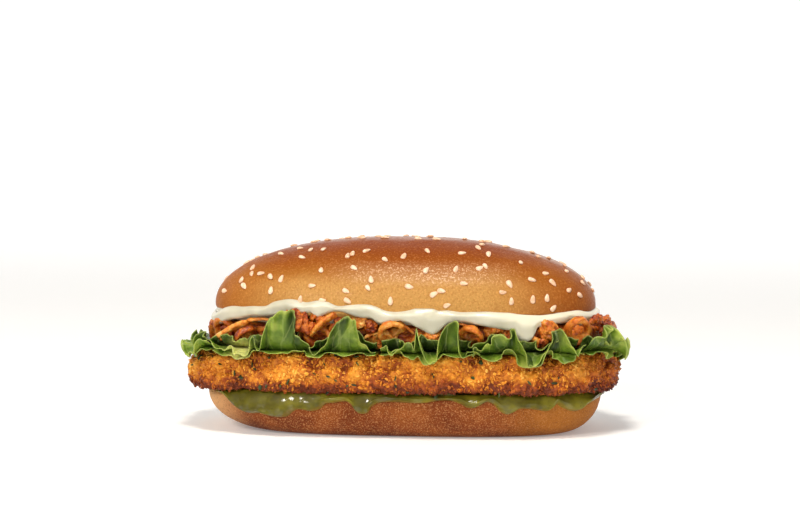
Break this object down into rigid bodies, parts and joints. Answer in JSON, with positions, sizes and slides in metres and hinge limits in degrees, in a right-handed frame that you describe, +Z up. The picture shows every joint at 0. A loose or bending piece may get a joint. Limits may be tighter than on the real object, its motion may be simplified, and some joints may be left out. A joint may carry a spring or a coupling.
{
  "type": "chicken burger",
  "caption": "Long sesame bun in two halves round a crumbed chicken fillet with green sauce, frilled lettuce, fried onions and white sauce.",
  "frame": {"origin": "middle of the bun's flat underside", "axes": "+X along the bun, the shown side faces -Y, +Z up"},
  "size_m": [0.1925, 0.1009, 0.0821],
  "materials": {
    "toasted_crust": "dry, finely speckled toasted crust",
    "green_sauce": "wet glossy sauce",
    "crumb_coating": "craggy golden crumb with green herb flecks",
    "lettuce": "satin leaf with paler veins and rim",
    "fried_onion": "crisp browned onion with an oily sheen",
    "white_sauce": "smooth glossy cream sauce",
    "bun_crust": "satin golden crust, darker on top, with pale sesame seeds"
  },
  "bodies": {
    "root": {"bun_heel": "toasted_crust", "green_sauce": "green_sauce", "chicken_fillet": "crumb_coating", "lettuce_leaf_1": "lettuce", "lettuce_leaf_2": "lettuce", "lettuce_leaf_3": "lettuce", "lettuce_leaf_4": "lettuce", "lettuce_leaf_5": "lettuce", "lettuce_leaf_6": "lettuce", "fried_onions": "fried_onion", "white_sauce": "white_sauce", "bun_crown": "bun_crust"}
  },
  "joints": []
}
